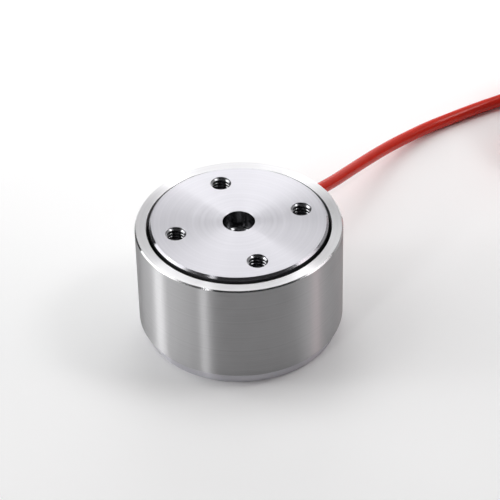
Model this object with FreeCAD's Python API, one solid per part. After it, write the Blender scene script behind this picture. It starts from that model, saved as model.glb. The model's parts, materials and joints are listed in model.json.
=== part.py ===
# Flange-type weighing load cell for tension and compression, with its cable.
# Millimetres. The origin is the centre of the base's underside, and +Z is the loading axis.
# The tapped holes of both bolt circles lie on the X and Y axes.
# The cable leaves midway between +X and +Y.
import FreeCAD, Part
import math
import os

# Sleeve: the plain tube round the cell
sleeve_diameter = 40.0
sleeve_wall = 2.2
sleeve_height = 21.2
sleeve_edge_break = 0.25
rim_bore_edge_break = 0.05

# Base flange, on which the sleeve stands
base_diameter = 38.0
base_height = 2.5
base_edge_break = 0.3

# Load disc, which stands a little proud of the sleeve's rim and clear of its bore
disc_proud = 0.8
disc_gap = 0.6
disc_thickness = 8.5
disc_edge_chamfer = 0.4

# Tapped holes and the pilot bore, at their nominal diameters
drill_point_angle = 118.0
thread_mouth_chamfer = 0.05
top_bolt_circle = 25.0
top_thread_diameter = 4.0
top_thread_depth = 6.5
pilot_diameter = 6.2
pilot_depth = 3.1
pilot_mouth_chamfer = 0.05
centre_thread_diameter = 5.0
centre_thread_depth = 9.0
base_bolt_circle = 31.0
base_thread_diameter = 3.0
base_thread_depth = 5.0

# Spring element: four spokes between the hub under the disc and the support ring on the base
support_ring_height = 8.0
spigot_clearance = 0.02
spigot_lead_in = 0.5
hub_diameter = 12.0
hub_fillet = 1.0
spoke_count = 4
spoke_width = 5.0
spoke_thickness = 3.0
window_corner_radius = 1.0
gauge_pocket_diameter = 23.6
gauge_room = 1.6

# Bridge board and bottom cover, each bonded on its own ledge under the spokes
fit_clearance = 0.05
board_ledge_width = 0.8
board_thickness = 1.0
board_hole_diameter = 10.0
cover_ledge_width = 0.8
cover_thickness = 1.0
cover_setback = 0.2
cover_edge_break = 0.2

# Foil strain gauges under the roots of the spokes, with the fine wires down to the board
gauge_length = 2.3
gauge_width = 3.0
gauge_thickness = 0.08
gauge_corner_radius = 0.3
gauge_root_gap = 0.25
gauge_wire_diameter = 0.2
gauge_wire_spacing = 1.6
gauge_wire_bow = 0.35

# Trim resistors under the board
resistor_count = 4
resistor_length = 2.0
resistor_width = 1.25
resistor_thickness = 0.55
resistor_edge_break = 0.1
resistor_circle = 18.0

# Silicone bead that closes the gap between disc and sleeve
seal_depth = 1.6
seal_height = 1.5
seal_hollow = 0.15
seal_clearance = 0.02

# Cable, its grommet in the sleeve, and the crimped clamp that takes the pull inside
cable_diameter = 2.6
cable_exit_angle = 45.0
cable_exit_height = 11.5
cable_clearance = 0.05
grommet_hole_diameter = 4.2
grommet_flange_diameter = 5.8
grommet_flange_thickness = 1.2
grommet_collar_diameter = 5.4
grommet_collar_thickness = 1.2
grommet_tail_length = 2.2
grommet_tail_diameter = 3.9
grommet_bell_length = 2.0
grommet_bell_clearance = 0.25
clamp_length = 3.0
clamp_wall = 0.7
clamp_gap = 0.1

# Insulated cores of the cable, inside the cell and at its far end
core_diameter = 0.8
core_spacing = 1.0
core_bend_radius = 1.6
inner_core_drop = 9.0
core_colours = ("red", "black", "green", "white")

# Share of the shorter neighbouring run that each bend of a cable or lead takes up
arc_share = 0.45

# The cable's free route, from the end of its jacket inside the cell to where it runs up to the coil
cable_route = [
    (8.6, 8.6, cable_exit_height),
    (14.0, 14.0, cable_exit_height),
    (19.7, 19.6, 11.4),
    (26.6, 25.0, 9.0),
    (33.0, 31.0, 6.6),
    (39.4, 36.5, 4.6),
    (45.4, 41.1, 3.0),
    (51.2, 44.6, 1.9),
    (56.8, 47.2, 1.4),
    (67.2, 50.1, 1.3),
    (74.0, 51.5, 1.35),
    (80.3, 52.6, 1.5),
]

# Coil of the spare length, with two ties, and the tail that comes off its topmost turn
coil_centre = (93.0, 36.0)
coil_turn_radius = 15.5
coil_columns = 3
coil_rows = 6
tie_thickness = 0.5
tie_angle = 14.0
tie_clearance = 0.03
tie_places = (150.0, 290.0)
tail_route = [
    (111.1, 25.6, 13.9),
    (110.9, 19.5, 11.2),
    (110.4, 11.0, 6.4),
    (109.6, 2.5, 3.0),
    (108.6, -6.0, 1.8),
    (107.4, -14.4, 1.8),
]

# Far end: shrink sleeve over the end of the jacket, four bare-ended leads
shrink_length = 9.0
shrink_overlap = 4.0
shrink_wall = 0.35
lead_length = 16.0
lead_spread = (-6.0, 6.0, -2.0, 2.0)
tip_length = 4.0
tip_diameter = 0.5

# Levels and radii that follow from the sizes above
UP = FreeCAD.Vector(0, 0, 1)
ACROSS = FreeCAD.Vector(1, 0, 0)
AWAY = FreeCAD.Vector(0, 1, 0)
ORIGIN = FreeCAD.Vector(0, 0, 0)
cut_margin = 1.0
tolerance = 1e-6
sleeve_radius = sleeve_diameter / 2
bore_radius = sleeve_radius - sleeve_wall
base_radius = base_diameter / 2
rim_level = base_height + sleeve_height
top_level = rim_level + disc_proud
disc_radius = bore_radius - disc_gap
disc_underside = top_level - disc_thickness
hub_radius = hub_diameter / 2
pocket_radius = gauge_pocket_diameter / 2
board_recess_radius = pocket_radius + board_ledge_width
cover_recess_radius = board_recess_radius + cover_ledge_width
spoke_underside = support_ring_height - spoke_thickness
board_ledge = spoke_underside - gauge_room
cover_ledge = cover_setback + cover_thickness
gauge_face = spoke_underside - gauge_thickness
cable_radius = cable_diameter / 2


def turned(outline):
    """Solid of revolution about Z from (radius, level) corners."""
    corners = [FreeCAD.Vector(radius, 0, level) for radius, level in outline]
    return Part.Face(Part.makePolygon(corners + corners[:1])).revolve(ORIGIN, UP, 360)


def turned_on_cable_axis(outline):
    """Solid of revolution about the cable's exit axis from (distance out, radius) corners."""
    corners = [FreeCAD.Vector(out, 0, radius) for out, radius in outline]
    shape = Part.Face(Part.makePolygon(corners + corners[:1])).revolve(ORIGIN, ACROSS, 360)
    shape.translate(UP * cable_exit_height)
    return shape.rotate(ORIGIN, UP, cable_exit_angle)


def turned_to(shape, angle):
    """A copy of the shape, turned about the loading axis."""
    return shape.copy().rotate(ORIGIN, UP, angle)


def edges_along(way, shape):
    """The shape's straight edges that run along a direction."""
    straight = [edge for edge in shape.Edges if isinstance(edge.Curve, Part.Line)]
    return [edge for edge in straight if edge.tangentAt(edge.FirstParameter).cross(way).Length < tolerance]


def tapped_hole(diameter, depth):
    """Cutter for a blind hole down from the origin, with a countersunk mouth and a drilled end."""
    radius = diameter / 2
    mouth = radius + thread_mouth_chamfer
    tip = radius / math.tan(math.radians(drill_point_angle / 2))
    outline = [(0, cut_margin), (mouth, cut_margin), (mouth, 0), (radius, -thread_mouth_chamfer)]
    return turned(outline + [(radius, -depth), (0, -depth - tip)])


def spoke_windows():
    """Cutters for the openings between the spokes, with the corners that the milling cutter leaves."""
    floor = UP * spoke_underside
    ring = Part.makeCylinder(pocket_radius, spoke_thickness, floor)
    ring = ring.cut(Part.makeCylinder(hub_radius, spoke_thickness, floor))
    corner = FreeCAD.Vector(0, -spoke_width / 2, spoke_underside)
    for k in range(spoke_count):
        spoke = Part.makeBox(pocket_radius + cut_margin, spoke_width, spoke_thickness, corner)
        ring = ring.cut(turned_to(spoke, 360 / spoke_count * k))
    return [window.makeFillet(window_corner_radius, edges_along(UP, window)) for window in ring.Solids]


def elastic_body():
    """Load disc, hub, spokes, support ring and base flange, machined from one bar."""
    spigot_radius = bore_radius - spigot_clearance
    pilot_radius = pilot_diameter / 2
    pilot_floor = top_level - pilot_depth
    body = turned([
        (0, spoke_underside),
        (pocket_radius, spoke_underside),
        (pocket_radius, board_ledge),
        (board_recess_radius, board_ledge),
        (board_recess_radius, cover_ledge),
        (cover_recess_radius, cover_ledge),
        (cover_recess_radius, 0),
        (base_radius - base_edge_break, 0),
        (base_radius, base_edge_break),
        (base_radius, base_height),
        (spigot_radius, base_height),
        (spigot_radius, support_ring_height - spigot_lead_in),
        (spigot_radius - spigot_lead_in, support_ring_height),
        (hub_radius, support_ring_height),
        (hub_radius, disc_underside),
        (disc_radius - disc_edge_chamfer, disc_underside),
        (disc_radius, disc_underside + disc_edge_chamfer),
        (disc_radius, top_level - disc_edge_chamfer),
        (disc_radius - disc_edge_chamfer, top_level),
        (pilot_radius + pilot_mouth_chamfer, top_level),
        (pilot_radius, top_level - pilot_mouth_chamfer),
        (pilot_radius, pilot_floor),
        (0, pilot_floor),
    ])
    disc_edges = [edge for edge in body.Edges if abs(edge.BoundBox.ZMin - disc_underside) < tolerance]
    hub_corner = [edge for edge in disc_edges if abs(edge.BoundBox.XMax - hub_radius) < tolerance]
    body = body.makeFillet(hub_fillet, hub_corner)
    cutters = spoke_windows()
    centre = tapped_hole(centre_thread_diameter, centre_thread_depth)
    centre.translate(UP * pilot_floor)
    cutters.append(centre)
    top_hole = tapped_hole(top_thread_diameter, top_thread_depth)
    top_hole.translate(FreeCAD.Vector(top_bolt_circle / 2, 0, top_level))
    base_hole = tapped_hole(base_thread_diameter, base_thread_depth)
    base_hole.rotate(ORIGIN, ACROSS, 180)
    base_hole.translate(FreeCAD.Vector(base_bolt_circle / 2, 0, 0))
    for k in range(spoke_count):
        cutters.append(turned_to(top_hole, 360 / spoke_count * k))
        cutters.append(turned_to(base_hole, 360 / spoke_count * k))
    return body.cut(cutters)


def sleeve():
    """Tube with broken edges and one hole for the cable's grommet."""
    low = base_height
    tube = turned([
        (bore_radius + sleeve_edge_break, low),
        (sleeve_radius - sleeve_edge_break, low),
        (sleeve_radius, low + sleeve_edge_break),
        (sleeve_radius, rim_level - sleeve_edge_break),
        (sleeve_radius - sleeve_edge_break, rim_level),
        (bore_radius + rim_bore_edge_break, rim_level),
        (bore_radius, rim_level - rim_bore_edge_break),
        (bore_radius, low + sleeve_edge_break),
    ])
    half_hole = grommet_hole_diameter / 2
    near = bore_radius - cut_margin
    far = sleeve_radius + cut_margin
    cable_hole = turned_on_cable_axis([(near, 0), (near, half_hole), (far, half_hole), (far, 0)])
    return tube.cut(cable_hole)


def bottom_cover():
    """Plate that closes the gauge pocket, a little inside the base's underside."""
    radius = cover_recess_radius - fit_clearance
    return turned([
        (0, cover_setback),
        (radius - cover_edge_break, cover_setback),
        (radius, cover_setback + cover_edge_break),
        (radius, cover_ledge),
        (0, cover_ledge),
    ])


def gap_seal():
    """Bead in the gap between disc and sleeve, with the hollow top that wet silicone draws."""
    inner = disc_radius + seal_clearance
    outer = bore_radius - seal_clearance
    top = rim_level - seal_depth
    low = top - seal_height
    corners = [FreeCAD.Vector(radius, 0, level) for radius, level in
               ((inner, top), (inner, low), (outer, low), (outer, top))]
    hollow = FreeCAD.Vector((inner + outer) / 2, 0, top - seal_hollow)
    edges = Part.makePolygon(corners).Edges + [Part.Arc(corners[3], hollow, corners[0]).toShape()]
    return Part.Face(Part.Wire(edges)).revolve(ORIGIN, UP, 360)


def bridge_board():
    """Ring-shaped board, bonded up against its ledge."""
    underside = UP * (board_ledge - board_thickness)
    board = Part.makeCylinder(board_recess_radius - fit_clearance, board_thickness, underside)
    hole = Part.makeCylinder(board_hole_diameter / 2, board_thickness, underside)
    return board.cut(hole)


def gauge_centres():
    """Distances from the loading axis to the gauges at a spoke's inner and outer root."""
    inset = gauge_root_gap + gauge_length / 2
    return hub_radius + inset, pocket_radius - inset


def strain_gauge(centre):
    """Foil gauge on the underside of the spoke along +X."""
    low = FreeCAD.Vector(centre - gauge_length / 2, -gauge_width / 2, gauge_face)
    carrier = Part.makeBox(gauge_length, gauge_width, gauge_thickness, low)
    return carrier.makeFillet(gauge_corner_radius, edges_along(UP, carrier))


def gauge_wires():
    """Fine wires from the two gauges of the spoke along +X down to the board, bowed outwards."""
    side = gauge_wire_spacing / 2
    middle = (board_ledge + gauge_face) / 2
    slab = Part.makeBox(2 * sleeve_radius, 2 * sleeve_radius, gauge_face - board_ledge,
                        FreeCAD.Vector(-sleeve_radius, -sleeve_radius, board_ledge))
    wires = []
    for centre in gauge_centres():
        for way in (-1, 1):
            ends = [FreeCAD.Vector(centre, way * side, level) for level in
                    (board_ledge - gauge_wire_diameter, gauge_face + gauge_wire_diameter)]
            bow = FreeCAD.Vector(centre, way * (side + gauge_wire_bow), middle)
            path = Part.Wire([Part.Arc(ends[0], bow, ends[1]).toShape()])
            wires.append(pipe(path, gauge_wire_diameter).common(slab))
    return Part.makeCompound([solid for wire in wires for solid in wire.Solids])


def trim_resistor():
    """Chip resistor under the board, on the +X side."""
    low = FreeCAD.Vector(resistor_circle / 2 - resistor_width / 2, -resistor_length / 2,
                         board_ledge - board_thickness - resistor_thickness)
    chip = Part.makeBox(resistor_width, resistor_length, resistor_thickness, low)
    return chip.makeChamfer(resistor_edge_break, edges_along(UP, chip))


def cable_grommet(wall):
    """Rubber grommet that grips the sleeve's wall and tapers along the cable."""
    bore = cable_radius + cable_clearance
    neck = grommet_hole_diameter / 2 - cable_clearance
    flange = grommet_flange_diameter / 2
    collar = grommet_collar_diameter / 2
    tail = grommet_tail_diameter / 2
    inside = grommet_inner_face()
    collar_face = sleeve_radius + grommet_collar_thickness
    end = grommet_end()
    solid = turned_on_cable_axis([
        (inside, bore),
        (inside, flange),
        (bore_radius, flange),
        (bore_radius, neck),
        (bore_radius + sleeve_wall / 2, neck),
        (bore_radius + sleeve_wall / 2, collar),
        (collar_face, collar),
        (collar_face, (collar + tail) / 2),
        (end, tail),
        (end, bore + grommet_bell_clearance),
        (end - grommet_bell_length, bore),
    ])
    return solid.cut(wall)


def grommet_inner_face():
    """Distance from the loading axis to the inner face of the grommet's flange."""
    return bore_radius - grommet_flange_thickness


def grommet_end():
    """Distance from the loading axis to the outer end of the grommet."""
    return sleeve_radius + grommet_collar_thickness + grommet_tail_length


def cable_clamp():
    """Crimped ring on the jacket, behind the grommet's flange."""
    bore = cable_radius + cable_clearance
    outer = bore + clamp_wall
    end = grommet_inner_face() - clamp_gap
    start = end - clamp_length
    return turned_on_cable_axis([(start, bore), (start, outer), (end, outer), (end, bore)])


def bent_path(points):
    """Wire of straight runs joined by tangent arcs as large as the runs allow, with the arcs' radii."""
    corners = [FreeCAD.Vector(*point) for point in points]
    edges = []
    radii = []
    start = corners[0]
    for before, corner, after in zip(corners, corners[1:], corners[2:]):
        run_in = corner - before
        run_out = after - corner
        half_turn = run_in.getAngle(run_out) / 2
        setback = arc_share * min(run_in.Length, run_out.Length)
        radius = setback / math.tan(half_turn)
        way_in = run_in.normalize()
        way_out = run_out.normalize()
        arc_start = corner - way_in * setback
        arc_end = corner + way_out * setback
        inwards = (way_out - way_in).normalize()
        arc_middle = corner + inwards * (radius / math.cos(half_turn) - radius)
        edges.append(Part.LineSegment(start, arc_start).toShape())
        edges.append(Part.Arc(arc_start, arc_middle, arc_end).toShape())
        radii.append(radius)
        start = arc_end
    edges.append(Part.LineSegment(start, corners[-1]).toShape())
    return Part.Wire(edges), radii


def pipe(path, diameter):
    """Round solid along a path."""
    first = path.Edges[0]
    start = first.valueAt(first.FirstParameter)
    way = first.tangentAt(first.FirstParameter)
    section = Part.makeCircle(diameter / 2, start, way)
    return path.makePipeShell([Part.Wire([section])], True, True)


def cord_tube(name, points):
    """Plain tube of the cable along a route, with its length, bends and volume printed."""
    path, radii = bent_path(points)
    tube = pipe(path, cable_diameter)
    share = tube.Volume / (math.pi * cable_radius**2 * path.Length)
    print(f"{name}: length {path.Length:.1f}, volume share {share:.5f}")
    print("bend radii", [round(radius, 1) for radius in radii])
    return tube


def core_places():
    """Sideways and upward offsets of the four cores in the jacket."""
    half = core_spacing / 2
    return ((-half, half), (half, half), (-half, -half), (half, -half))


def inner_core(sideways, upward):
    """Core from the end of the jacket in over a window between two spokes, then down to the board."""
    jacket_end = math.hypot(*cable_route[0][:2])
    drop = inner_core_drop - upward
    level = cable_exit_height + upward
    bend_start = FreeCAD.Vector(drop + core_bend_radius, sideways, level)
    bend_end = FreeCAD.Vector(drop, sideways, level - core_bend_radius)
    slack = core_bend_radius * (1 - math.sqrt(0.5))
    bend_middle = FreeCAD.Vector(drop + slack, sideways, level - slack)
    path = Part.Wire([
        Part.LineSegment(FreeCAD.Vector(jacket_end, sideways, level), bend_start).toShape(),
        Part.Arc(bend_start, bend_middle, bend_end).toShape(),
        Part.LineSegment(bend_end, FreeCAD.Vector(drop, sideways, board_ledge)).toShape(),
    ])
    return turned_to(pipe(path, core_diameter), cable_exit_angle)


def coil_section(margin):
    """Wire round the coil's bundle of turns in the XZ plane, grown by a margin."""
    half_width = coil_columns * cable_diameter / 2 + margin
    low = tie_thickness - margin
    high = tie_thickness + coil_rows * cable_diameter + margin
    centre_x, centre_y = coil_centre
    box = Part.makeBox(2 * half_width, cut_margin, high - low,
                       FreeCAD.Vector(centre_x + coil_turn_radius - half_width, centre_y, low))
    rounded = box.makeFillet(cable_radius + margin, edges_along(AWAY, box))
    ends = [face for face in rounded.Faces if abs(face.BoundBox.YMax - centre_y) < tolerance]
    return ends[0].OuterWire


def cable_coil():
    """Outer shape of the wound turns."""
    centre = FreeCAD.Vector(*coil_centre, 0)
    return Part.Face(coil_section(0)).revolve(centre, UP, 360)


def coil_tie(angle):
    """Band round the bundle of turns at one place of the coil."""
    centre = FreeCAD.Vector(*coil_centre, 0)
    outside = Part.Face(coil_section(tie_thickness)).revolve(centre, UP, tie_angle)
    inside = Part.Face(coil_section(tie_clearance)).revolve(centre, UP, tie_angle)
    return outside.cut(inside).rotate(centre, UP, angle)


def far_end():
    """The tail's last point, its level outward direction and the sideways direction there."""
    end = FreeCAD.Vector(*tail_route[-1])
    out = end - FreeCAD.Vector(*tail_route[-2])
    out.z = 0
    out.normalize()
    return end, out, UP.cross(out)


def end_sleeve():
    """Shrink sleeve over the end of the jacket and the start of the leads."""
    end, out, _ = far_end()
    bore = cable_radius + cable_clearance
    start = end - out * shrink_overlap
    outer = Part.makeCylinder(bore + shrink_wall, shrink_length, start, out)
    return outer.cut(Part.makeCylinder(bore, shrink_length, start, out))


def lead_route(place, spread, length):
    """Points of one lead from the end of the jacket down to the surface, fanned sideways."""
    end, out, aside = far_end()
    sideways, upward = place
    covered = shrink_length - shrink_overlap
    floor = core_diameter / 2 - end.z
    steps = (
        (0, sideways, upward),
        (covered, sideways, upward),
        (covered + length / 2, sideways + spread / 2, floor),
        (covered + length, sideways + spread, floor),
    )
    return [end + out * ahead + aside * across + UP * rise for ahead, across, rise in steps]


def end_lead(place, spread):
    """Insulated lead, up to where its end is stripped."""
    path, _ = bent_path(lead_route(place, spread, lead_length))
    return pipe(path, core_diameter)


def lead_tip(place, spread):
    """Tinned strands that stand out of a stripped lead."""
    before, end = lead_route(place, spread, lead_length)[-2:]
    return Part.makeCylinder(tip_diameter / 2, tip_length, end, end - before)


def build():
    """Every piece of the cell by its name."""
    wall = sleeve()
    pieces = {
        "elastic_body": elastic_body(),
        "sleeve": wall,
        "bottom_cover": bottom_cover(),
        "gap_seal": gap_seal(),
        "bridge_board": bridge_board(),
        "cable_grommet": cable_grommet(wall),
        "cable_clamp": cable_clamp(),
        "cable_lead": cord_tube("cable_lead", cable_route),
        "cable_coil": cable_coil(),
        "cable_tail": cord_tube("cable_tail", tail_route),
        "end_sleeve": end_sleeve(),
    }
    for k in range(spoke_count):
        angle = 360 / spoke_count * k
        inner, outer = gauge_centres()
        pieces[f"strain_gauge_{2 * k + 1}"] = turned_to(strain_gauge(inner), angle)
        pieces[f"strain_gauge_{2 * k + 2}"] = turned_to(strain_gauge(outer), angle)
        pieces[f"gauge_wires_{k + 1}"] = turned_to(gauge_wires(), angle)
    for k in range(resistor_count):
        pieces[f"trim_resistor_{k + 1}"] = turned_to(trim_resistor(), 360 / resistor_count * k)
    for k, angle in enumerate(tie_places):
        pieces[f"coil_tie_{k + 1}"] = coil_tie(angle)
    tips = []
    for colour, place, spread in zip(core_colours, core_places(), lead_spread):
        pieces[f"core_{colour}"] = inner_core(*place)
        pieces[f"lead_{colour}"] = end_lead(place, spread)
        tips.append(lead_tip(place, spread))
    pieces["lead_tips"] = Part.makeCompound(tips)
    return pieces


os.makedirs("parts", exist_ok=True)
for node, shape in build().items():
    shape.exportStep(f"parts/{node}.step")
    box = shape.BoundBox
    print(f"{node}: {len(shape.Solids)} solid, valid {shape.isValid()}, volume {shape.Volume:.3f}, "
          f"z {box.ZMin:.2f} to {box.ZMax:.2f}")
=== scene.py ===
# %% [markdown]
# A weighing load cell, dressed step by step.
# The cell is a short steel drum: a turned disc takes the load, a ground sleeve stands round it,
# and a red cable carries the signal away. The solids are already made and stand in place, so this
# lesson adds what solids leave out: screw threads, a cable that lies like a cable, and metal that
# shows how it was machined. All sizes are in metres.

# %% the solids
import json
import math

import bpy
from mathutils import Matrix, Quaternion, Vector


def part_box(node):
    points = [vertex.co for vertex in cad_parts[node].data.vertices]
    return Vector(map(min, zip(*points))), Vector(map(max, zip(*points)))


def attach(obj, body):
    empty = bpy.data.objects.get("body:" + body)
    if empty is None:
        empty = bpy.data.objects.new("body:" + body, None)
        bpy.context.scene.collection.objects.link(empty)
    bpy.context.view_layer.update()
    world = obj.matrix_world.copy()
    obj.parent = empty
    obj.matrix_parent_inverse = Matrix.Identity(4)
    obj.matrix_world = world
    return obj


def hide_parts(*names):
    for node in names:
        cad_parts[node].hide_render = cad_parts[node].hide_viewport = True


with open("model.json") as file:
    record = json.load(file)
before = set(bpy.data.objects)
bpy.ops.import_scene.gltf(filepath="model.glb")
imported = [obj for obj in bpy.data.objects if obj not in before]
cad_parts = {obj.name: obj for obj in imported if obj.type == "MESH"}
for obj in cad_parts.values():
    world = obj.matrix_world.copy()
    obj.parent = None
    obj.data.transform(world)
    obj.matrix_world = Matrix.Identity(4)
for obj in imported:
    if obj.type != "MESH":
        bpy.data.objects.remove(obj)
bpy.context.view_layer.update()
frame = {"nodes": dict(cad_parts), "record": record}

solids = frame["nodes"]
print("solids loaded:", len(solids))

# %% [markdown]
# The camera comes first, because every later choice is judged through it.
# A long lens from well above flattens the drum a little. The cell is turned against the lens by the
# angle at which its bolt holes show, so the camera stands beside the Y axis and not on it. Its three
# turns could be one set of angles, but as three small rotations they read as a hand would make them:
# a swing round the cell, a tilt up from straight down, and a slight roll.

# %% the camera
camera_place = Vector((-0.09106, -0.33265, 0.29910))
camera_swing = math.radians(-15.646)
camera_tilt = math.radians(50.751)
camera_roll = math.radians(-1.290)
lens_length = 166.0
nearest_view = 0.01
X_AXIS = Vector((1, 0, 0))
Z_AXIS = Vector((0, 0, 1))
bpy.ops.object.camera_add(location=camera_place)
camera = bpy.context.object
camera.data.lens = lens_length
camera.data.clip_start = nearest_view
camera.rotation_mode = "QUATERNION"
swing = Quaternion(Z_AXIS, camera_swing)
tilt = Quaternion(X_AXIS, camera_tilt)
roll = Quaternion(Z_AXIS, camera_roll)
camera.rotation_quaternion = swing @ tilt @ roll
bpy.context.scene.camera = camera
print("camera at", tuple(round(value, 3) for value in camera_place))

# %% [markdown]
# The cable is one flexible length, so it is one curve: out of the drum, down to the table, into a
# small coil and out again to its bare ends. The points of the free stretches are the ones that
# the solids follow. A smooth spline takes them as its control points, because a cable has no
# corners.

# %% the cable's free stretches
cable_diameter = 0.0026
way_out = [
    (0.0086, 0.0086, 0.0115),
    (0.0140, 0.0140, 0.0115),
    (0.0197, 0.0196, 0.0114),
    (0.0266, 0.0250, 0.0090),
    (0.0330, 0.0310, 0.0066),
    (0.0394, 0.0365, 0.0046),
    (0.0454, 0.0411, 0.0030),
    (0.0512, 0.0446, 0.0019),
    (0.0568, 0.0472, 0.0014),
    (0.0672, 0.0501, 0.0013),
    (0.0740, 0.0515, 0.00135),
    (0.0803, 0.0526, 0.0015),
    (0.0866, 0.0537, 0.0017),
]
way_off = [
    (0.1111, 0.0310, 0.0146),
    (0.1111, 0.0256, 0.0139),
    (0.1109, 0.0195, 0.0112),
    (0.1104, 0.0110, 0.0064),
    (0.1096, 0.0025, 0.0030),
    (0.1086, -0.0060, 0.0018),
    (0.1074, -0.0144, 0.0018),
]
print("points on the free stretches:", len(way_out) + len(way_off))

# %% [markdown]
# The spare length is wound in lanes: three side by side, six layers high. A turn keeps to its lane
# and then steps over into the next one, and each step comes a little earlier than the one below
# it, so that no turn runs into its neighbour. The points could be placed by hand, but there are
# hundreds of them and they follow a rule, so a loop works them out.

# %% the coil's lanes
coil_radius = 0.0155
lowest_turn = 0.0018
layers = 6
inwards = (1, 0, -1)
outwards = (-1, 0, 1)
lanes = []
for layer in range(layers):
    height = lowest_turn + layer * cable_diameter
    for lane in inwards if layer % 2 == 0 else outwards:
        lanes.append((coil_radius + lane * cable_diameter, height))
print("lanes in the coil:", len(lanes))

# %% the coil's turns
coil_middle = Vector((0.093, 0.036, 0))
coil_turns = 17.25
points_per_turn = 24
first_step = 0.75
step_spacing = 0.97
step_length = 0.16


def lane_after(turned):
    """Radius and height of the cable after so many turns, in a lane or on its step to the next."""
    last = len(lanes) - 1
    lane = max(0, min(math.floor((turned - first_step) / step_spacing), last))
    following = min(lane + 1, last)
    share = min(1, max(0, (turned - first_step - lane * step_spacing) / step_length))
    radius = lanes[lane][0] + share * (lanes[following][0] - lanes[lane][0])
    height = lanes[lane][1] + share * (lanes[following][1] - lanes[lane][1])
    return radius, height


coil_points = []
for count in range(round(coil_turns * points_per_turn) + 1):
    turned = count / points_per_turn
    radius, height = lane_after(turned)
    angle = math.pi / 2 - 2 * math.pi * turned
    across = Vector((math.cos(angle), math.sin(angle), 0)) * radius
    coil_points.append(coil_middle + across + Z_AXIS * height)
print("points in the coil:", len(coil_points))

# %% [markdown]
# One curve now carries the whole cable. It could be a swept mesh, but a curve with a round bevel
# keeps its thickness along every bend and can be measured from end to end. The radius is set at
# its points, so that the bevel itself stays at one.

# %% the cable as one curve
line = bpy.data.curves.new("red_cable", "CURVE")
line.dimensions = "3D"
spline = line.splines.new("NURBS")
route = way_out + [tuple(point) for point in coil_points] + way_off
spline.points.add(len(route) - 1)
for point, place in zip(spline.points, route):
    point.co = (*place, 1)
    point.radius = cable_diameter / 2
spline.order_u = 3
spline.use_endpoint_u = True
spline.resolution_u = 4
line.bevel_depth = 1.0
line.bevel_resolution = 8
line.use_fill_caps = True
red_cable = bpy.data.objects.new("red_cable", line)
bpy.context.collection.objects.link(red_cable)
print("control points of the cable:", len(route))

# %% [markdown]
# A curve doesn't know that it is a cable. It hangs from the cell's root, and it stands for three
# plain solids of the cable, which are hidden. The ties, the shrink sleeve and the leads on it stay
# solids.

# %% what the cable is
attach(red_cable, "root")
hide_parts("cable_lead", "cable_coil", "cable_tail")
on_the_cable = ["coil_tie_1", "coil_tie_2", "end_sleeve", "lead_tips"]
on_the_cable += ["lead_red", "lead_black", "lead_green", "lead_white"]
print("pieces on the cable:", len(on_the_cable))

# %% [markdown]
# The holes are plain bores in the solids. A screw thread is a ridge that climbs the wall of its
# hole, so one small section is drawn beside the axis and swept up it with the Screw modifier. It
# could be a stack of rings, but rings don't climb, and the eye sees that at the mouth. The section
# is a square that is narrowed at its crest, with its foot sunk a hair into the wall.

# %% the section of a ridge
height_share = 0.55
foot_share = 0.86
crest_share = 0.3
wall_grip = 0.00002


def pick_points(piece, indices):
    """Selects only these points of the piece that is in edit mode."""
    bpy.ops.mesh.select_all(action="DESELECT")
    bpy.ops.object.mode_set(mode="OBJECT")
    for index in indices:
        piece.data.vertices[index].select = True
    bpy.ops.object.mode_set(mode="EDIT")


def draw_section(name, radius, pitch, start):
    """Outline of a ridge beside the Z axis, wide at the wall and narrow at its crest."""
    height = height_share * pitch
    bpy.ops.object.select_all(action="DESELECT")
    bpy.ops.mesh.primitive_plane_add(size=1, rotation=(math.pi / 2, 0, 0))
    ridge = bpy.context.object
    ridge.name = name
    bpy.ops.object.transform_apply(location=True, rotation=True, scale=True)
    crest = [vertex.index for vertex in ridge.data.vertices if vertex.co.x < 0]
    bpy.ops.object.mode_set(mode="EDIT")
    bpy.ops.mesh.select_mode(type="VERT")
    bpy.ops.transform.resize(value=(height, 1, foot_share * pitch), center_override=(0, 0, 0))
    bpy.ops.transform.translate(value=(radius - height / 2 + wall_grip, 0, start))
    pick_points(ridge, crest)
    bpy.ops.transform.resize(value=(1, 1, crest_share), center_override=(0, 0, start))
    bpy.ops.mesh.select_all(action="SELECT")
    bpy.ops.mesh.delete(type="ONLY_FACE")
    bpy.ops.object.mode_set(mode="OBJECT")
    return ridge


print("a ridge is", height_share, "of its pitch high and", foot_share, "wide at its foot")

# %% [markdown]
# A tap doesn't stop square. Its ridge runs out to a point at both ends, so the last half turn of
# rows is scaled down step by step towards the wall, and the end row is closed with a face.

# %% one thread ridge
rows_per_turn = 40
tapered_rows = 20
section_points = 4
smooth_below = math.radians(35)


def run_out(ridge, reach, pitch, start):
    """Draws both ends of a ridge down to a point on the wall and closes them."""
    rows = len(ridge.data.vertices) // section_points
    bpy.ops.object.mode_set(mode="EDIT")
    for near in range(tapered_rows):
        share = (near + 1) / (tapered_rows + 1)
        for row in (near, rows - 1 - near):
            angle = 2 * math.pi * row / rows_per_turn
            level = start + pitch * row / rows_per_turn
            foot_place = (reach * math.cos(angle), reach * math.sin(angle), level)
            pick_points(ridge, range(section_points * row, section_points * (row + 1)))
            bpy.ops.transform.resize(value=(share, share, share), center_override=foot_place)
            if near == 0:
                bpy.ops.mesh.edge_face_add()
    bpy.ops.mesh.select_all(action="SELECT")
    bpy.ops.mesh.normals_make_consistent(inside=False)
    bpy.ops.object.mode_set(mode="OBJECT")


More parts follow.
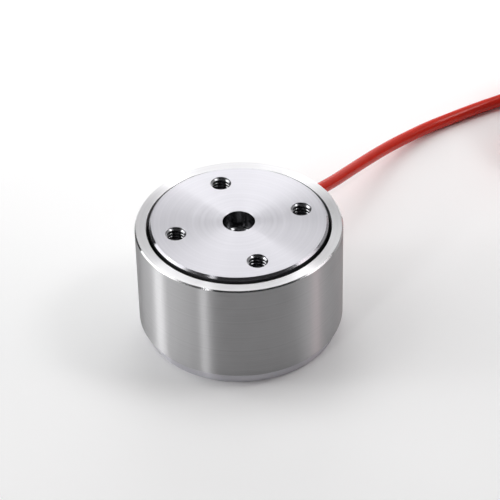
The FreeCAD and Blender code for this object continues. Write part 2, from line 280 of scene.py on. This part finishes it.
def thread_ridge(name, radius, pitch, top, turns):
    """Ridge of one tapped hole on the Z axis, swept up to its top."""
    start = top - turns * pitch
    ridge = draw_section(name, radius, pitch, start)
    sweep = ridge.modifiers.new("climb", "SCREW")
    sweep.angle = 2 * math.pi * turns
    sweep.screw_offset = pitch * turns
    sweep.steps = sweep.render_steps = round(rows_per_turn * turns)
    bpy.ops.object.modifier_apply(modifier="climb")
    run_out(ridge, radius + wall_grip, pitch, start)
    bpy.ops.object.shade_smooth_by_angle(angle=smooth_below)
    return ridge


print("a ridge tapers over", tapered_rows / rows_per_turn, "turns at each end")

# %% [markdown]
# The cell has three kinds of thread: four equal ones in the disc, one in the floor of the pilot
# bore, and four smaller ones in the base's underside. Each kind is modelled once, on the axis, and
# starts a hair inside the mouth of its hole, so that no tip stands proud of the face.

# %% the three kinds of thread
top_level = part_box("elastic_body")[1].z
mouth_setback = 0.00008
pilot_depth = 0.0031
base_pitch = 0.0005
base_turns = 9
load_thread = thread_ridge(
    "load_thread_1",
    radius=0.0020,
    pitch=0.0007,
    top=top_level - mouth_setback,
    turns=8.9,
)
centre_thread = thread_ridge(
    "centre_thread",
    radius=0.0025,
    pitch=0.0008,
    top=top_level - pilot_depth - mouth_setback,
    turns=10,
)
base_thread = thread_ridge(
    "base_thread_1",
    radius=0.0015,
    pitch=base_pitch,
    top=base_turns * base_pitch + mouth_setback,
    turns=base_turns,
)
print("faces of one load thread:", len(load_thread.data.polygons))

# %% [markdown]
# What repeats is copied and not modelled again. Every copy has a mesh of its own, and its place is
# applied to that mesh, so that all objects sit at one origin. A finish that reads the place on a
# piece then means the same place on each of them.

# %% the threads in their holes
holes_round = 4
load_bolt_radius = 0.0125
base_bolt_radius = 0.0155


def choose(piece):
    """Selects one piece alone and makes it active."""
    bpy.ops.object.select_all(action="DESELECT")
    piece.select_set(True)
    bpy.context.view_layer.objects.active = piece


def set_round(piece, stem, radius):
    """Ridges on the X and Y axes: the piece itself and a copy for each other hole."""
    made = [piece]
    for number in range(2, holes_round + 1):
        choose(piece)
        bpy.ops.object.duplicate(linked=False)
        bpy.context.object.name = f"{stem}_{number}"
        made.append(bpy.context.object)
    for turn, ridge in enumerate(made):
        angle = 2 * math.pi * turn / holes_round
        ridge.location = (radius * math.cos(angle), radius * math.sin(angle), 0)
        choose(ridge)
        bpy.ops.object.transform_apply(location=True, rotation=True, scale=True)
    return made


thread_pieces = set_round(load_thread, "load_thread", load_bolt_radius)
thread_pieces += set_round(base_thread, "base_thread", base_bolt_radius)
thread_pieces.append(centre_thread)
for piece in thread_pieces:
    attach(piece, "root")
print("threads:", len(thread_pieces))

# %% [markdown]
# A finish starts from one shader with its plain values set on it. Every finish here is worked out
# from the place on the piece and needs no picture. A few helpers add nodes, join them and do sums,
# so that each finish below shows only what is its own.

# %% the start of a finish
def new_finish(name, color, roughness, metallic=0.0):
    """Material with one shader, its colour, roughness and metal set."""
    material = bpy.data.materials.new(name)
    material.use_nodes = True
    shader = material.node_tree.nodes["Principled BSDF"]
    shader.inputs["Base Color"].default_value = (*color, 1)
    shader.inputs["Roughness"].default_value = roughness
    shader.inputs["Metallic"].default_value = metallic
    return material, shader


def add_node(material, kind, values=(), **settings):
    """Node of one kind with its settings, and values for its inputs."""
    node = material.node_tree.nodes.new(kind)
    for key, value in settings.items():
        setattr(node, key, value)
    for key, value in dict(values).items():
        node.inputs[key].default_value = value
    return node


def join(material, output, socket):
    """Link from one node's output to another's input."""
    material.node_tree.links.new(output, socket)


print("helpers for nodes: new_finish, add_node and join")

# %% sums between nodes
def compute(material, operation, *terms):
    """Output of one sum, product or test on outputs and plain numbers."""
    node = add_node(material, "ShaderNodeMath", operation=operation)
    for socket, term in zip(node.inputs, terms):
        if isinstance(term, float):
            socket.default_value = term
        else:
            join(material, term, socket)
    return node.outputs[0]


def split(material, vector):
    """The X, Y and Z outputs of a vector."""
    node = add_node(material, "ShaderNodeSeparateXYZ")
    join(material, vector, node.inputs[0])
    return node.outputs


print("helpers for sums: compute and split")

# %% [markdown]
# A Mix node holds one set of sockets for numbers and another for colours. The colour sockets share
# their names with the number sockets, so they are found by their position.

# %% mixing numbers and colours
first_color_socket = 6
second_color_socket = 7
mixed_color_socket = 2


def mix_number(material, share, number, source):
    """The source, with a plain number mixed in by a share."""
    node = add_node(material, "ShaderNodeMix", {"B": number})
    join(material, source, node.inputs["A"])
    join(material, share, node.inputs["Factor"])
    return node.outputs["Result"]


def mix_color(material, share, color, source):
    """The source, an output or a plain colour, with a colour mixed in by a share."""
    node = add_node(material, "ShaderNodeMix", {second_color_socket: (*color, 1)}, data_type="RGBA")
    if isinstance(source, tuple):
        node.inputs[first_color_socket].default_value = (*source, 1)
    else:
        join(material, source, node.inputs[first_color_socket])
    join(material, share, node.inputs["Factor"])
    return node.outputs[mixed_color_socket]


def toned(color, share):
    """A colour made darker or lighter."""
    return tuple(value * share for value in color)


print("helpers for mixing: mix_number, mix_color and toned")

# %% [markdown]
# Turned and ground steel carries fine lines round the axis. They are too fine to model, and what
# the eye sees of them is the stretched gloss: light spreads across the lines and not along them.
# The shader does that with its anisotropy, turned to lie across the direction round the axis. The
# lines themselves are noise along one number, the reach from the axis plus the height.

# %% the lines of the tool
line_detail = 6


def tool_lines(material, shader, spacing):
    """Lines round the Z axis that draw out the gloss. Gives their height, the place and its reach."""
    place = add_node(material, "ShaderNodeTexCoord").outputs["Object"]
    around = add_node(material, "ShaderNodeVectorMath", {0: Z_AXIS}, operation="CROSS_PRODUCT")
    join(material, place, around.inputs[1])
    join(material, around.outputs[0], shader.inputs["Tangent"])
    reach = add_node(material, "ShaderNodeVectorMath", operation="LENGTH")
    join(material, around.outputs[0], reach.inputs[0])
    along = compute(material, "ADD", reach.outputs["Value"], split(material, place)["Z"])
    lines = add_node(material, "ShaderNodeTexNoise", noise_dimensions="1D")
    lines.inputs["Scale"].default_value = 1 / spacing
    lines.inputs["Detail"].default_value = line_detail
    join(material, along, lines.inputs["W"])
    return lines.outputs["Fac"], place, reach.outputs["Value"]


print("octaves in the tool's lines:", line_detail)

# %% [markdown]
# No machined face is smooth all over: each line of the tool cuts a little differently, and hands
# and cloths leave patches. The roughness could be one number, but then a highlight would end in a
# ruled edge. So lines and patches move it by about a tenth each way.

# %% uneven gloss
patch_scale = 220
patch_detail = 3
patch_share = 0.35
weakest_mix = 0.35
strongest_mix = 1.0
smoother = 0.88
rougher = 1.15


def uneven_gloss(material, lines, place, roughness):
    """Roughness that changes a little from line to line and from patch to patch."""
    patches = add_node(material, "ShaderNodeTexNoise", {"Scale": patch_scale, "Detail": patch_detail})
    join(material, place, patches.inputs["Vector"])
    mixed = compute(material, "MULTIPLY_ADD", patches.outputs["Fac"], patch_share, lines)
    gloss = add_node(material, "ShaderNodeMapRange")
    gloss.inputs["From Min"].default_value = weakest_mix
    gloss.inputs["From Max"].default_value = strongest_mix
    gloss.inputs["To Min"].default_value = roughness * smoother
    gloss.inputs["To Max"].default_value = roughness * rougher
    join(material, mixed, gloss.inputs["Value"])
    return gloss.outputs["Result"]


print("roughness varies from", smoother, "to", rougher, "times its value")

# %% [markdown]
# Machined steel puts these together. Upright faces get only a share of the colour, which is painted
# shade on the walls. The broken edges at the rims are smoother than the faces beside them and show
# as thin bright and dark lines. Both are found by the direction of the face, which needs no
# painting by hand.

# %% machined steel
across_the_lines = 0.25
wall_rise_limit = 0.3
edge_rise = 0.707
edge_range = 0.25
outer_edge_reach = 0.0165
dark_streak = 0.92
light_streak = 1.04
line_strength = 0.15


def rise_of(material):
    """How far a face looks up or down: 0 on a wall, 1 on a level face."""
    normal = add_node(material, "ShaderNodeNewGeometry").outputs["Normal"]
    return compute(material, "ABSOLUTE", split(material, normal)["Z"])


def machined_steel(
    name, color, roughness, stretch, spacing, depth, wall_shade_share=1.0, edge_roughness=0.15
):
    """Steel with machining lines round the Z axis, smoother on its slanted edges, with painted shade on
    its walls.
    """
    material, shader = new_finish(name, color, roughness, metallic=1.0)
    shader.inputs["Anisotropic"].default_value = stretch
    shader.inputs["Anisotropic Rotation"].default_value = across_the_lines
    lines, place, reach = tool_lines(material, shader, spacing)
    rise = rise_of(material)
    upright = compute(material, "LESS_THAN", rise, wall_rise_limit)
    streaked = mix_color(material, lines, toned(color, dark_streak), toned(color, light_streak))
    tone = add_node(material, "ShaderNodeVectorMath", operation="SCALE")
    join(material, streaked, tone.inputs[0])
    # painted shade: upright faces get only this share of the colour
    shade = compute(material, "MULTIPLY_ADD", upright, wall_shade_share - 1.0, 1.0)
    join(material, shade, tone.inputs["Scale"])
    join(material, tone.outputs[0], shader.inputs["Base Color"])
    outer = compute(material, "GREATER_THAN", reach, outer_edge_reach)
    slanted = compute(material, "COMPARE", rise, edge_rise, edge_range)
    edge = compute(material, "MULTIPLY", outer, slanted)
    gloss = uneven_gloss(material, lines, place, roughness)
    join(material, mix_number(material, edge, edge_roughness, gloss), shader.inputs["Roughness"])
    bump = add_node(material, "ShaderNodeBump", {"Strength": line_strength, "Distance": depth})
    join(material, lines, bump.inputs["Height"])
    join(material, bump.outputs["Normal"], shader.inputs["Normal"])
    return material


ground_steel = machined_steel(
    "ground steel",
    (0.84, 0.836, 0.85),
    roughness=0.40,
    stretch=1.0,
    spacing=0.0004,
    depth=0.000002,
    wall_shade_share=0.52,
)
cut_thread = machined_steel(
    "cut thread",
    (0.5, 0.5, 0.52),
    roughness=0.14,
    stretch=0.0,
    spacing=0.0002,
    depth=0.000001,
    edge_roughness=0.14,
)
print("steel finishes:", ground_steel.name, "and", cut_thread.name)

# %% [markdown]
# A bore is drilled and reamed, so its wall is smoother than the turned face. Its wall is also
# darker, which is painted shade, and so are the walls of the gap round the disc. The disc and its
# bores are one piece, and a second material would need its faces picked one by one. The height does
# it more simply: walls near the top of the piece, and all faces a little below its top, get the painted
# shade and the bore's gloss.

# %% turned steel with painted shade in its bores
bore_from = 0.020
bore_to = 0.024
bore_shade_color = (0.19, 0.19, 0.20)
bore_roughness = 0.2


def paint_bore_shade(material):
    """Mixes painted shade and the bores' gloss into a steel, on its walls and sunk faces near the top.
    """
    shader = material.node_tree.nodes["Principled BSDF"]
    place = add_node(material, "ShaderNodeTexCoord").outputs["Object"]
    height = split(material, place)["Z"]
    upright = compute(material, "LESS_THAN", rise_of(material), wall_rise_limit)
    sunk = compute(material, "MAXIMUM", upright, compute(material, "LESS_THAN", height, bore_to))
    shaded_bore = compute(material, "MULTIPLY", sunk, compute(material, "GREATER_THAN", height, bore_from))
    tone = shader.inputs["Base Color"].links[0].from_socket
    gloss = shader.inputs["Roughness"].links[0].from_socket
    # painted shade: the bores, their floors and the gap walls are darkened in colour
    join(material, mix_color(material, shaded_bore, bore_shade_color, tone), shader.inputs["Base Color"])
    join(material, mix_number(material, shaded_bore, bore_roughness, gloss), shader.inputs["Roughness"])


turned_steel = machined_steel(
    "turned steel",
    (0.59, 0.583, 0.62),
    roughness=0.32,
    stretch=0.92,
    spacing=0.0006,
    depth=0.000004,
    wall_shade_share=0.94,
)
paint_bore_shade(turned_steel)
print("steel finish with dark bores:", turned_steel.name)

# %% [markdown]
# The cable's jacket is soft red plastic: a deep colour with a little unevenness from the
# extruder, and a dull shine. One flat colour would look like paint, so noise moves the colour by a
# few hundredths and a fine grain roughens the skin.

# %% the red jacket
blotch_scale = 400
blotch_detail = 4
dark_end = 0.3
light_end = 0.7
grain_scale = 6000
grain_detail = 2
grain_strength = 0.1
grain_depth = 0.00002


def soft_plastic(name, color, roughness, unevenness, shine=0.5):
    """Extruded plastic or rubber with a slightly uneven colour and skin."""
    material, shader = new_finish(name, color, roughness)
    shader.inputs["Specular IOR Level"].default_value = shine
    place = add_node(material, "ShaderNodeTexCoord").outputs["Object"]
    blotches = add_node(material, "ShaderNodeTexNoise", {"Scale": blotch_scale, "Detail": blotch_detail})
    join(material, place, blotches.inputs["Vector"])
    ramp = add_node(material, "ShaderNodeValToRGB")
    darkest, lightest = ramp.color_ramp.elements
    darkest.position = dark_end
    lightest.position = light_end
    darkest.color = (*toned(color, 1 - unevenness), 1)
    lightest.color = (*toned(color, 1 + unevenness), 1)
    join(material, blotches.outputs["Fac"], ramp.inputs["Fac"])
    join(material, ramp.outputs["Color"], shader.inputs["Base Color"])
    grain = add_node(material, "ShaderNodeTexNoise", {"Scale": grain_scale, "Detail": grain_detail})
    join(material, place, grain.inputs["Vector"])
    bump = add_node(material, "ShaderNodeBump", {"Strength": grain_strength, "Distance": grain_depth})
    join(material, grain.outputs["Fac"], bump.inputs["Height"])
    join(material, bump.outputs["Normal"], shader.inputs["Normal"])
    return material


red_jacket = soft_plastic(
    "red jacket",
    (0.57, 0.030, 0.018),
    roughness=0.17,
    unevenness=0.06,
    shine=0.24,
)
print("plastic finish:", red_jacket.name)

# %% [markdown]
# The pieces inside the cell and at the cable's far end are made of the same two kinds of stuff, so
# a table of values is enough for them. Rubber and silicone are dull, moulded and extruded plastics
# shine a little more, and drawn wire has faint lines only.

# %% the other plastics and rubbers
finishes = {"turned_steel": turned_steel, "ground_steel": ground_steel, "red_jacket": red_jacket}
plastics = {
    # slot: colour, roughness, unevenness, shine
    "black_silicone": ((0.006, 0.006, 0.007), 0.7, 0.2, 0.15),
    "black_rubber": ((0.02, 0.02, 0.02), 0.55, 0.2, 0.5),
    "board_laminate": ((0.03, 0.2, 0.08), 0.4, 0.15, 0.5),
    "gauge_film": ((0.5, 0.28, 0.06), 0.35, 0.15, 0.5),
    "resistor": ((0.02, 0.02, 0.02), 0.25, 0.2, 0.5),
    "red_core": ((0.45, 0.02, 0.02), 0.35, 0.06, 0.5),
    "black_core": ((0.015, 0.015, 0.015), 0.35, 0.15, 0.5),
    "green_core": ((0.02, 0.22, 0.06), 0.35, 0.08, 0.5),
    "white_core": ((0.78, 0.78, 0.76), 0.35, 0.03, 0.5),
    "shrink_sleeve": ((0.015, 0.015, 0.015), 0.45, 0.15, 0.5),
    "tie_strap": ((0.015, 0.015, 0.015), 0.6, 0.2, 0.5),
}
for slot, values in plastics.items():
    finishes[slot] = soft_plastic(slot.replace("_", " "), *values)
print("other plastics and rubbers:", len(plastics))

# %% the other metals
metals = {
    # slot: colour, roughness, stretch, line spacing, line depth
    "cover_steel": ((0.6, 0.6, 0.6), 0.4, 0.2, 0.0003, 0.000003),
    "crimp_brass": ((0.72, 0.52, 0.22), 0.35, 0.2, 0.0002, 0.000003),
    "gauge_wire": ((0.72, 0.35, 0.2), 0.35, 0.2, 0.0002, 0.000002),
    "tinned_wire": ((0.7, 0.7, 0.68), 0.3, 0.2, 0.0002, 0.000002),
}
for slot, values in metals.items():
    finishes[slot] = machined_steel(slot.replace("_", " "), *values)
print("other metals:", len(metals))

# %% [markdown]
# The record names the material of every solid, so one loop dresses them all. The cable gets its
# jacket, and the ridges get the bright steel that a tap leaves.

# %% the finishes on their pieces
for subpart in frame["record"]["subparts"]:
    solids[subpart["node"]].data.materials[0] = finishes[subpart["material_slot"]]
red_cable.data.materials.append(red_jacket)
for piece in thread_pieces:
    piece.data.materials.clear()
    piece.data.materials.append(cut_thread)
print("finishes in use:", len(finishes) + 1)

# %% [markdown]
# Metal shows what stands round it, so the studio is part of the look. It starts with a white
# table, a wide sheet with no shine of its own: it takes the soft shadow and lights the steel from
# below. It lies a hair under the cell, so that the two don't share a face.

# %% the table
table_width = 8
table_gap = 0.00005
bpy.ops.object.select_all(action="DESELECT")
bpy.ops.mesh.primitive_plane_add(size=table_width, location=(0, 0, -table_gap))
table = bpy.context.object
table.name = "table"
table_finish, table_shader = new_finish("white table", (0.97, 0.97, 0.97), roughness=0.9)
table_shader.inputs["Specular IOR Level"].default_value = 0.0
table.data.materials.append(table_finish)
print("table:", table_width, "metres across")

# %% [markdown]
# Each lamp is a soft box that faces the cell. What counts on steel is where its mirror image lies
# and how wide it is, so a lamp is given by angles as the cell sees them: azimuth from the camera
# towards its right, elevation above the table, and width and height. Its power follows from its
# size, so that a lamp can be moved or resized and its image stays as bright.

# %% a soft box
to_camera = Vector((camera_place.x, camera_place.y, 0)).normalized()
to_right = Z_AXIS.cross(to_camera)
WHITE = (1, 1, 1)
lamps = []


def studio_place(azimuth, elevation, distance):
    """Place round the cell: azimuth from the camera towards its right, in degrees."""
    around = math.radians(azimuth)
    above = math.radians(elevation)
    level = to_camera * math.cos(around) + to_right * math.sin(around)
    return (level * math.cos(above) + Z_AXIS * math.sin(above)) * distance


def soft_box(name, azimuth, elevation, width, height, brightness, color=WHITE, distance=1.0):
    """Area lamp that faces the cell, sized in degrees as the cell sees it."""
    place = studio_place(azimuth, elevation, distance)
    bpy.ops.object.light_add(type="AREA", location=place)
    lamp = bpy.context.object
    lamp.name = name
    lamp.rotation_mode = "QUATERNION"
    lamp.rotation_quaternion = (-place).to_track_quat("-Z", "Y")
    lamp.data.shape = "RECTANGLE"
    lamp.data.size = 2 * distance * math.tan(math.radians(width / 2))
    lamp.data.size_y = 2 * distance * math.tan(math.radians(height / 2))
    lamp.data.energy = brightness * math.pi * lamp.data.size * lamp.data.size_y
    lamp.data.color = color
    lamp.visible_camera = False
    lamps.append(lamp)


print("the camera stands towards", tuple(round(value, 2) for value in to_camera))

# %% [markdown]
# The disc and the rim look up and mirror what stands behind the cell. A low wall and columns there
# make the bright fan across the disc. They stand close, so that the far edge of the disc sees them
# at another angle than the near edge and the tone runs from light to grey. The top box lights the
# whole from above.

# %% the lamps behind the cell
near = 0.3
nearest = 0.16
soft_box("low wall", azimuth=180, elevation=16, width=64, height=16, brightness=0.85, distance=near)
soft_box("back wall", azimuth=180, elevation=32, width=64, height=16, brightness=0.25, distance=near)
soft_box("back column", azimuth=180, elevation=42, width=20, height=12, brightness=1.5, distance=near)
soft_box("upper column", azimuth=180, elevation=64, width=22, height=16, brightness=1.4, distance=near)
soft_box("close panel", azimuth=180, elevation=24, width=30, height=32, brightness=1.7, distance=nearest)
soft_box("top box", azimuth=180, elevation=75, width=62, height=22, brightness=2.2)
soft_box("right corner", azimuth=130, elevation=31, width=40, height=60, brightness=0.36)
print("lamps so far:", len(lamps))

# %% [markdown]
# The sleeve is a mirror that is bent one way: every lamp shows as an upright band, narrow for a
# strip and wide for a wall. On the left a strip makes the brightest band, with a wall and a box
# beside it. On the right a rosy strip stands for the cable's red in the steel, and a box above
# lays the highlight along the cable. In front, one thin strip and its dim upper end draw the line
# left of the middle and its glint on the rim.

# %% the lamps at the sides and in front
FAINT_ROSE = (1.0, 0.96, 0.97)
ROSE = (1.0, 0.66, 0.68)
soft_box("left box", azimuth=-98, elevation=31, width=40, height=60, brightness=1.6)
soft_box("left wall", azimuth=-60, elevation=12, width=30, height=24, brightness=2.2)
soft_box("left strip", azimuth=-88, elevation=12, width=12, height=24, brightness=7.4)
soft_box("right panel", azimuth=94, elevation=32, width=30, height=16, brightness=1.5, color=FAINT_ROSE)
soft_box("right strip", azimuth=80, elevation=13, width=7, height=24, brightness=2.6, color=ROSE)
soft_box("cable box", azimuth=92, elevation=52, width=16, height=13, brightness=7.4)
soft_box("front strip", azimuth=-37, elevation=19, width=5, height=36, brightness=8.6)
soft_box("strip end", azimuth=-37, elevation=47, width=5, height=12, brightness=1.0)
print("lamps:", len(lamps))

# %% [markdown]
# The rest of the room stays nearly dark. What no lamp fills then reads as black in the steel, as it
# does in the gap round the disc. The plain view transform shows a colour about as it is written.

# %% the room
room_color = (0.97, 0.97, 1.0)
room_strength = 0.035
studio = bpy.data.worlds.new("studio")
bpy.context.scene.world = studio
studio.use_nodes = True
background = studio.node_tree.nodes["Background"]
background.inputs["Color"].default_value = (*room_color, 1)
background.inputs["Strength"].default_value = room_strength
bpy.context.scene.view_settings.view_transform = "Standard"
print("strength of the room's light:", room_strength)
